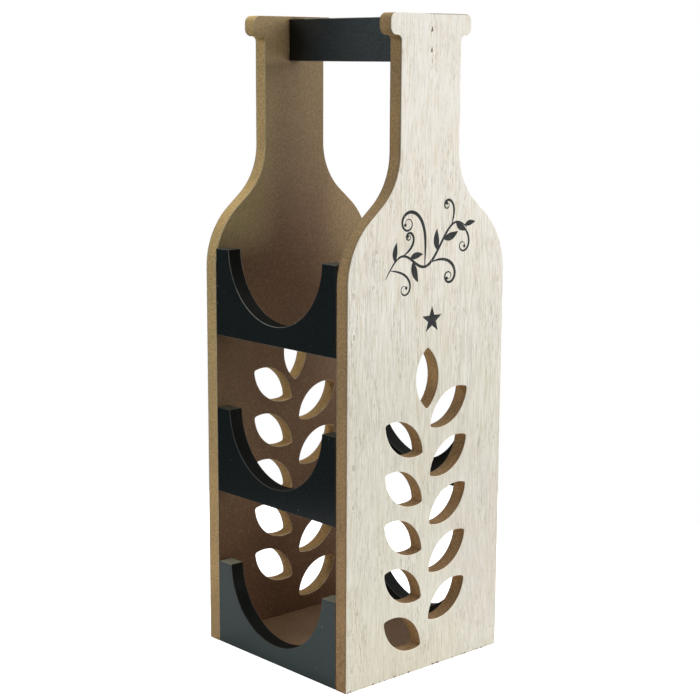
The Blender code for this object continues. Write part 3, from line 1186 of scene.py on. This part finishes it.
@dataclass(frozen=True)
class Stroke:
    """One stroke of a pen: a line that bends more and more, thin at its ends."""

    start: Point
    heading: float
    length: float
    first_bend: float
    last_bend: float
    width: float
    tightening: float = 2.0
    swell: float = 0.4
    thinnest: float = 0.00022
    steps: int = 56

    def centreline(self) -> list[tuple[Point, float]]:
        """Return the points along the stroke, each with the heading there.

        Returns:
            The points and headings, from start to end.
        """
        spot, heading = Vector(self.start), self.heading
        stride = self.length / self.steps
        line = [(tuple(spot), heading)]
        for step in range(self.steps):
            share = (step + 0.5) / self.steps
            bend = self.first_bend + (self.last_bend - self.first_bend) * share**self.tightening
            heading += bend * stride
            spot = spot + Vector((math.cos(heading), math.sin(heading))) * stride
            line.append((tuple(spot), heading))
        return line

    def outline(self) -> Loop:
        """Return the stroke's outline, anticlockwise.

        Returns:
            The outline, which tapers to both ends.
        """
        power = math.log(0.5) / math.log(self.swell)
        least, more = self.thinnest / 2, (self.width - self.thinnest) / 2
        shares = [step / self.steps for step in range(self.steps + 1)]
        halves = [least + more * math.sin(math.pi * share**power) for share in shares]
        return thickened(self.centreline(), halves)


@dataclass(frozen=True)
class Tendril:
    """A curl that leaves the vine's stem and ends in a berry."""

    share: float
    side: int
    length: float
    width: float
    lean: float = 0.35
    first_bend: float = 33.0
    last_bend: float = 620.0

    def stroke(self, spot: Point, heading: float) -> Stroke:
        """Return the curl as a stroke, from where it leaves the stem and the stem's heading there."""
        lean, first, last = (self.side * amount for amount in (self.lean, self.first_bend, self.last_bend))
        return Stroke(spot, heading + lean, self.length, first, last, self.width)


@dataclass(frozen=True)
class VineFlourish:
    """A printed vine: a waving stem with curled tendrils, leaves and berries."""

    middle: Point = (-0.0017, 0.2385)
    span: float = 0.062
    rise: float = 0.024
    wave: float = 0.007
    waves: float = 1.5
    stem_width: float = 0.0016
    stem_end: float = 0.22
    stem_steps: int = 96
    berry: float = 0.00095
    berry_step: float = math.radians(20)
    leaf_lean: float = 0.95
    leaf_bend: float = 45.0
    leaf_swell: float = 0.45
    leaf_steps: int = 24
    tendrils: tuple[Tendril, ...] = (
        Tendril(0.05, -1, 0.036, 0.0014, 1.05, 18.0, 560.0),
        Tendril(0.20, 1, 0.029, 0.0016, 0.35, 32.0, 950.0),
        Tendril(0.47, 1, 0.066, 0.0020, 1.42, 1.0, 430.0),
        Tendril(0.54, -1, 0.048, 0.0018, 0.35, 33.0, 580.0),
        Tendril(0.80, 1, 0.029, 0.0015, 0.55, 26.0, 820.0),
        Tendril(0.90, -1, 0.033, 0.0014),
    )
    leaves: tuple[tuple[float, int, float, float], ...] = (
        (0.11, 1, 0.0105, 0.0036),
        (0.33, -1, 0.0125, 0.0044),
        (0.29, 1, 0.0100, 0.0035),
        (0.63, 1, 0.0120, 0.0042),
        (0.70, -1, 0.0120, 0.0042),
        (0.86, -1, 0.0090, 0.0034),
        (0.97, 1, 0.0085, 0.0030),
    )

    def stem_at(self, share: float) -> tuple[Point, float]:
        """Return a point on the stem and the heading there.

        Args:
            share: how far along the stem, from 0 to 1.

        Returns:
            The point and the heading.
        """
        turn = 2 * math.pi * self.waves
        x = self.middle[0] + (share - 0.5) * self.span
        y = self.middle[1] + (share - 0.5) * self.rise + self.wave * math.sin(turn * share)
        slope = (self.rise + self.wave * turn * math.cos(turn * share)) / self.span
        return (x, y), math.atan(slope)

    def stem(self) -> Loop:
        """Return the outline of the stem, anticlockwise.

        Returns:
            The outline, which tapers to both ends.
        """
        shares = [step / self.stem_steps for step in range(self.stem_steps + 1)]
        swells = [math.sin(math.pi * share) ** 0.5 for share in shares]
        halves = [self.stem_width / 2 * (self.stem_end + (1 - self.stem_end) * swell) for swell in swells]
        return thickened([self.stem_at(share) for share in shares], halves)

    def outlines(self) -> list[Loop]:
        """Return the stem, tendrils, berries and leaves.

        Returns:
            One outline a shape, anticlockwise.
        """
        drawn = [self.stem()]
        for tendril in self.tendrils:
            curl = tendril.stroke(*self.stem_at(tendril.share))
            end, _ = curl.centreline()[-1]
            drawn += [curl.outline(), arc(end, self.berry, 0.0, 2 * math.pi, self.berry_step)[:-1]]
        for share, side, length, width in self.leaves:
            spot, heading = self.stem_at(share)
            bend, lean = -side * self.leaf_bend, side * self.leaf_lean
            shape = {"swell": self.leaf_swell, "steps": self.leaf_steps}
            drawn.append(Stroke(spot, heading + lean, length, bend, bend, width, **shape).outline())
        return drawn


@dataclass(frozen=True)
class PrintedStar:
    """The small star printed under the vine."""

    middle: Point = (0.0027, 0.2012)
    radius: float = 0.0079
    waist: float = 0.4
    points: int = 5

    def outline(self) -> Loop:
        """Return the star's outline, anticlockwise with a point upwards.

        Returns:
            The outline.
        """
        (x, y), outline = self.middle, []
        for index in range(2 * self.points):
            angle = math.pi / 2 + index * math.pi / self.points
            reach = self.radius * (self.waist if index % 2 else 1.0)
            outline.append((x + reach * math.cos(angle), y + reach * math.sin(angle)))
        return outline


@dataclass(frozen=True)
class BradPattern:
    """Where the brads go through a panel, and the slots that their heads sink into."""

    cradle_inset: float = 0.0045
    tier_pitch: float = 0.0927
    low: float = 0.012
    high: float = 0.034
    handle_middle: float = 0.352495
    handle_spacing: float = 0.0108
    slot_width: float = 0.0012
    slot_height: float = 0.003
    slot_ease: float = 0.0003
    split_ease: float = 0.00004
    split_corners: tuple[Point, ...] = (
        (-0.6, -1.0), (0.4, -1.0), (0.9, -0.6), (0.8, 0.0), (0.3, 0.6),
        (0.1, 1.0), (-0.15, 1.0), (-0.3, 0.2), (-0.8, -0.6),
    )

    def cradle_spots(self, depth: float) -> list[Point]:
        """Return the middles of the twelve slots at the cradles' ends.

        Args:
            depth: the panel's depth.

        Returns:
            The middles, across and up the panel.
        """
        across = depth / 2 - self.cradle_inset
        heights = [tier.value * self.tier_pitch + level for tier in Tier for level in (self.low, self.high)]
        return [(side * across, height) for side in (-1, 1) for height in heights]

    def handle_spots(self) -> list[Point]:
        """Return the middles of the two slots at the handle's end."""
        return [(0.0, self.handle_middle + sign * self.handle_spacing / 2) for sign in (-1, 1)]

    def slot(self, middle: Point, grow: float = 0.0) -> Loop:
        """Return the outline of one slot round its middle, grown all round by a length."""
        corners = rectangle(self.slot_width / 2 + grow, self.slot_height / 2 + grow, middle)
        return eased_corners(corners, self.slot_ease)

    def split(self, middle: Point) -> Loop:
        """Return the outline of an open slot, which narrows upwards to a point.

        Args:
            middle: the slot's middle.

        Returns:
            The outline, anticlockwise.
        """
        across, up = self.slot_width / 2, self.slot_height / 2
        corners = [(middle[0] + x * across, middle[1] + y * up) for x, y in self.split_corners]
        return eased_corners(corners, self.split_ease)


@dataclass
class SidePanel:
    """A side panel: fibreboard core, veneer on its outer face, filled brad slots and print."""

    side: Side
    core_finish: Material
    veneer_finish: Material
    filler_finish: Material
    ink_finish: Material
    shape: BottleShape = field(default_factory=BottleShape)
    sprig: LeafSprig = field(default_factory=LeafSprig)
    brads: BradPattern = field(default_factory=BradPattern)
    vine: VineFlourish = field(default_factory=VineFlourish)
    star: PrintedStar = field(default_factory=PrintedStar)
    fraying: Fraying = field(default_factory=Fraying)
    inner_gap: float = 0.1034
    thickness: float = 0.009
    veneer_thickness: float = 0.00055
    veneer_glue: float = 0.00001
    core_rim: float = 0.00035
    glued_rim: float = 0.00004
    veneer_rim: float = 0.00028
    veneer_seed: float = 3.0
    filler_depth: float = 0.00022
    filler_recess: float = 0.00005
    filler_gap: float = 0.00002
    filler_rim: float = 0.00006
    ink_depth: float = 0.00003
    ink_proud: float = 0.00002
    ink_layer: float = 0.000003
    ink_rim: float = 0.000008

    @property
    def label(self) -> str:
        """The side's name as the pieces carry it."""
        return self.side.name.lower()

    @property
    def outer_face(self) -> float:
        """How far the veneer's outer face lies from the middle of the rack."""
        return self.inner_gap / 2 + self.thickness

    def place(self, distance: float) -> Matrix:
        """Return the place of a slab whose middle lies at a distance from the middle plane."""
        return upright((0, self.side.value, 0), (self.side.value * distance, 0, 0))

    def loops(self) -> list[Loop]:
        """Return the panel's outline, then the outlines of everything that is cut through it.

        Returns:
            The loops, in the order that a slab takes them.
        """
        slots = [self.brads.slot(spot) for spot in self.brads.cradle_spots(self.shape.depth)]
        splits = [self.brads.split(spot) for spot in self.brads.handle_spots()]
        return [self.shape.outline()] + self.sprig.outlines() + slots + splits

    def build_core(self) -> None:
        """Build the fibreboard core, with rims that are rounded inside and sharp under the veneer."""
        thickness = self.thickness - self.veneer_thickness - self.veneer_glue
        slab = Slab(self.loops(), thickness, self.core_rim, upper_rim=self.glued_rim)
        draft = MeshDraft((slab, self.place(self.inner_gap / 2 + thickness / 2)))
        piece = draft.to_piece(f"panel_core_{self.label}", self.core_finish)
        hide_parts(f"side_panel_{self.label}")

    def build_veneer(self) -> None:
        """Build the veneer, whose edges are slightly ragged."""
        seed = self.side.value * self.veneer_seed
        loops = [self.fraying.fray(loop, number > 0, seed) for number, loop in enumerate(self.loops())]
        slab = Slab(loops, self.veneer_thickness, self.glued_rim, 2, upper_rim=self.veneer_rim)
        draft = MeshDraft((slab, self.place(self.outer_face - self.veneer_thickness / 2)))
        piece = draft.to_piece(f"panel_veneer_{self.label}", self.veneer_finish)
        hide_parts(f"face_veneer_{self.label}")

    def build_fillers(self) -> None:
        """Build the filler that closes the slots over the cradle brads."""
        place = self.place(self.outer_face - self.filler_recess - self.filler_depth / 2)
        draft = MeshDraft()
        for spot in self.brads.cradle_spots(self.shape.depth):
            loop = self.brads.slot(spot, -self.filler_gap)
            draft.add_slab(Slab([loop], self.filler_depth, self.filler_rim, 2), place)
        piece = draft.to_piece(f"brad_filler_{self.label}", self.filler_finish)

    def build_print(self) -> None:
        """Build the printed vine and star as thin films of ink, each a little thicker than the last."""
        draft = MeshDraft()
        for number, loop in enumerate([self.star.outline()] + self.vine.outlines()):
            proud = self.ink_proud + number * self.ink_layer
            slab = Slab([loop], proud + self.ink_depth, self.ink_rim, 1)
            draft.add_slab(slab, self.place(self.outer_face + (proud - self.ink_depth) / 2))
        draft.to_piece(f"panel_print_{self.label}", self.ink_finish)

    def build(self) -> None:
        """Build the panel's pieces."""
        for build_piece in (self.build_core, self.build_veneer, self.build_fillers, self.build_print):
            build_piece()


@dataclass
class Board:
    """A board between the two panels, with slightly broken corners and rims."""

    finish: Material
    length: float = 0.103
    thickness: float = 0.009
    rim: float = 0.0006
    corner_ease: float = 0.0005
    spacing: float = 0.006

    def cut(self, name: str, corners: Loop, place: Matrix) -> bpy.types.Object:
        """Build the board.

        Args:
            name: the piece's name.
            corners: its outline before the corners are broken.
            place: where its middle goes.

        Returns:
            The piece.
        """
        outline = closely_spaced(eased_corners(corners, self.corner_ease), self.spacing)
        draft = MeshDraft((Slab([outline], self.thickness, self.rim), place))
        return draft.to_piece(name, self.finish)


@dataclass
class Cradle(Board):
    """A painted board across the gap, with a bottle-sized arc cut in its top."""

    row: Row = Row.FRONT
    tier: Tier = Tier.BOTTOM
    rim: float = 0.00045
    spacing: float = 0.004
    height: float = 0.05
    arc_radius: float = 0.04
    arc_rise: float = 0.001
    arc_step: float = math.radians(2)
    tier_pitch: float = 0.0927
    panel_depth: float = 0.1195

    def corners(self) -> Loop:
        """Return the board's outline before its corners are broken, anticlockwise.

        Returns:
            The corners and the arc's points.
        """
        half = self.length / 2
        drop = math.asin(self.arc_rise / self.arc_radius)
        centre = (0.0, self.height + self.arc_rise)
        points = [(-half, 0.0), (half, 0.0), (half, self.height)]
        points += arc(centre, self.arc_radius, -drop, drop - math.pi, self.arc_step)
        return without_doubles(points + [(-half, self.height)])

    def build(self) -> None:
        """Build the cradle."""
        row, tier = self.row.name.lower(), self.tier.name.lower()
        depth = self.row.value * (self.panel_depth - self.thickness) / 2
        place = upright((1, 0, 0), (0, depth, self.tier.value * self.tier_pitch))
        piece = self.cut(f"painted_cradle_{row}_{tier}", self.corners(), place)
        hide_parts(f"{row}_cradle_{tier}")


@dataclass
class HandleBar(Board):
    """The painted board on edge between the two necks."""

    height: float = 0.024
    middle: float = 0.352495

    def build(self) -> None:
        """Build the handle."""
        place = upright((1, 0, 0), (0, 0, self.middle))
        piece = self.cut("painted_handle", rectangle(self.length / 2, self.height / 2), place)
        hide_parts("handle_bar")


@dataclass
class BaseBoard(Board):
    """The thin bare board that closes the bottom."""

    thickness: float = 0.005
    rim: float = 0.0003
    corner_ease: float = 0.0004
    depth: float = 0.1011

    def build(self) -> None:
        """Build the base board."""
        place = Matrix.Translation((0, 0, self.thickness / 2))
        piece = self.cut("bare_base_board", rectangle(self.length / 2, self.depth / 2), place)
        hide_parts("base_board")


@dataclass
class Brads:
    """The brads, whose CAD nodes stay and get their steel."""

    finish: Material
    nodes: Mapping[str, bpy.types.Object]

    def build(self) -> None:
        """Give every brad its finish and report how many there are."""
        brads = [node for name, node in sorted(self.nodes.items()) if name.startswith("brad_")]
        for brad in brads:
            brad.data.materials.clear()
            brad.data.materials.append(self.finish)
        LOG.info("brads: %d kept", len(brads))


@dataclass(frozen=True)
class SoftBox:
    """One large soft lamp."""

    name: str
    place: Triple
    size: float
    power: float
    aim: Triple = (0.0, 0.0, 0.16)

    def build(self) -> None:
        """Build the lamp and aim it."""
        lamp = bpy.data.lights.new(self.name, "AREA")
        lamp.shape, lamp.size, lamp.energy = "SQUARE", self.size, self.power
        holder = linked(self.name, lamp)
        holder.location = self.place
        holder.visible_camera = False
        holder.rotation_mode = "QUATERNION"
        holder.rotation_quaternion = (Vector(self.aim) - Vector(self.place)).to_track_quat("-Z", "Y")


@dataclass(frozen=True)
class ProductCamera:
    """The camera at the photograph's viewing angle."""

    place: Triple = (0.68205, -0.62563, 0.3428)
    azimuth: float = math.radians(47.8848)
    elevation: float = math.radians(10.5665)
    roll: float = math.radians(0.2095)
    lens: float = 83.5907
    shift: Point = (0.01161, 0.015)
    clip: Point = (0.01, 50.0)

    def build(self) -> None:
        """Build the camera and make it the scene's own."""
        east, north, flat = math.sin(self.azimuth), math.cos(self.azimuth), math.cos(self.elevation)
        back = Vector((east * flat, -north * flat, math.sin(self.elevation)))
        level = Vector((north, east, 0.0))
        rise = back.cross(level)
        right = level * math.cos(self.roll) + rise * math.sin(self.roll)
        up = rise * math.cos(self.roll) - level * math.sin(self.roll)
        data = bpy.data.cameras.new("product_camera")
        data.lens = self.lens
        data.shift_x, data.shift_y = self.shift
        data.clip_start, data.clip_end = self.clip
        camera = linked("product_camera", data)
        camera.rotation_mode = "QUATERNION"
        camera.location = self.place
        camera.rotation_quaternion = Matrix((right, up, back)).transposed().to_quaternion()
        bpy.context.scene.camera = camera


@dataclass
class Studio:
    """A round white table in a dim room with soft lamps, before a background that looks pure white."""

    table_radius: float = 0.36
    table_sides: int = 96
    table_drop: float = 0.0002
    table_colour: Triple = (0.92, 0.92, 0.91)
    table_clouds: float = 3.0
    table_roughness: Point = (0.75, 0.85)
    table_gloss: float = 0.1
    rear_light: float = 0.86
    boxes: tuple[SoftBox, ...] = (
        SoftBox("key_box", (1.5, -0.35, 1.15), 1.0, 3.7),
        SoftBox("top_box", (0.1, 0.1, 1.6), 1.2, 11.7),
        SoftBox("left_box", (-0.55, -0.75, 0.75), 0.35, 2.97),
        SoftBox("low_box", (1.3, 0.5, 0.35), 0.8, 12.4),
    )

    def build_table(self) -> None:
        """Build the table top that the rack stands on."""
        work = bmesh.new()
        bmesh.ops.create_circle(work, cap_ends=True, segments=self.table_sides, radius=self.table_radius)
        mesh = bpy.data.meshes.new("studio_table")
        work.to_mesh(mesh)
        work.free()
        surface = Surface("white_table")
        clouds = surface.noise(surface.place, self.table_clouds)
        mesh.materials.append(surface.dressed({
            "Base Color": self.table_colour,
            "Roughness": clouds.ramp(0.0, 1.0, *self.table_roughness),
            "Specular IOR Level": self.table_gloss,
            "Emission Color": WHITE,
            "Emission Strength": surface.read("ShaderNodeLightPath", {}, "Is Camera Ray"),
        }))
        table = linked("studio_table", mesh)
        table.location.z = -self.table_drop
        table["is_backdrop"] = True

    def build_room(self) -> None:
        """Build the light that comes from behind the rack, with a plain white background."""
        world = bpy.data.worlds.new("white_room")
        world.use_nodes = True
        canvas = NodeCanvas(world.node_tree)
        _, rearward, _ = canvas.parts(canvas.read("ShaderNodeTexCoord", {}, "Generated"))
        seen = canvas.read("ShaderNodeLightPath", {}, "Is Camera Ray")
        strength = (rearward.most(0.0) * self.rear_light).most(seen)
        canvas.fill(world.node_tree.nodes["Background"], {"Color": WHITE, "Strength": strength})
        bpy.context.scene.world = world

    def build(self) -> None:
        """Build the table, the room, the lamps and the camera."""
        self.build_table()
        self.build_room()
        for box in self.boxes:
            box.build()
        ProductCamera().build()
        bpy.context.scene.view_settings.view_transform = "Standard"
        LOG.info("studio: %d soft boxes", len(self.boxes))


def write_sizes() -> None:
    """Put the CAD model's box and the dressed model's box into plain lists."""
    boxes = {"cad": cad_box, "visual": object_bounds()}
    plain = {name: [list(corner) for corner in box] for name, box in boxes.items()}


def main() -> None:
    """Build the rack's pieces in order, then the studio."""
    logging.basicConfig(level=logging.INFO, format="%(name)s: %(message)s")
    effects = Effects()
    right_board = BareFibreboard("right_fibreboard", 0.86, 0.00012, Facing.ACROSS, 0.0517, 0.0601)
    # The left panel's fibreboard: a copy with paler cut edges as painted light, weaker painted shade on
    # upward edges and stronger painted shade in the openings.
    left_board_painted_light = replace(
        right_board,
        name="left_fibreboard",
        edge_skin=(0.86, 0.685, 0.39),
        edge_heart=(0.98, 0.705, 0.315),
        top_painted_shade=(0.88, 0.86, 0.82),
        inside_shade=0.62,
    )
    panel_boards = {Side.RIGHT: right_board.build(effects), Side.LEFT: left_board_painted_light.build(effects)}
    # The base board lies low, so the whole of it takes the faces' painted shade.
    tone = (0.402, 0.305, 0.212)
    base_board = BareFibreboard("base_fibreboard", 0.86, 0.00012, Facing.UP, 0.0, 0.005, tone).build(effects)
    veneer = WhitewashedVeneer("whitewashed_veneer", 0.62, 0.0001).build(effects)
    paint = DarkPaint("cradle_paint", 0.6, 0.00003)
    # The handle's paint: a lighter copy of the cradle paint, with near-black ends and a darker left end as
    # painted shade.
    handle_paint = replace(
        paint,
        name="handle_paint",
        thick=(0.045, 0.056, 0.06),
        thin=(0.104, 0.127, 0.136),
        bare_end=(0.01, 0.009, 0.006),
        bare_width=0.0022,
        left_painted_shade=0.92,
    )
    cradle_paint = paint.build(effects)
    ink = PrintInk("print_ink", 0.6, 0.00006).build(effects)
    steel = TarnishedSteel("tarnished_steel", 0.42, 0.00003).build(effects)
    filler = WashedFiller("washed_filler", 0.75, 0.00005).build(effects)
    for side in Side:
        SidePanel(side, panel_boards[side], veneer, filler, ink).build()
    for row in Row:
        for tier in Tier:
            Cradle(cradle_paint, row=row, tier=tier).build()
    HandleBar(handle_paint.build(effects)).build()
    BaseBoard(base_board).build()
    Brads(steel, frame["nodes"]).build()
    Studio().build()
    write_sizes()


if __name__ == "__main__":
    main()
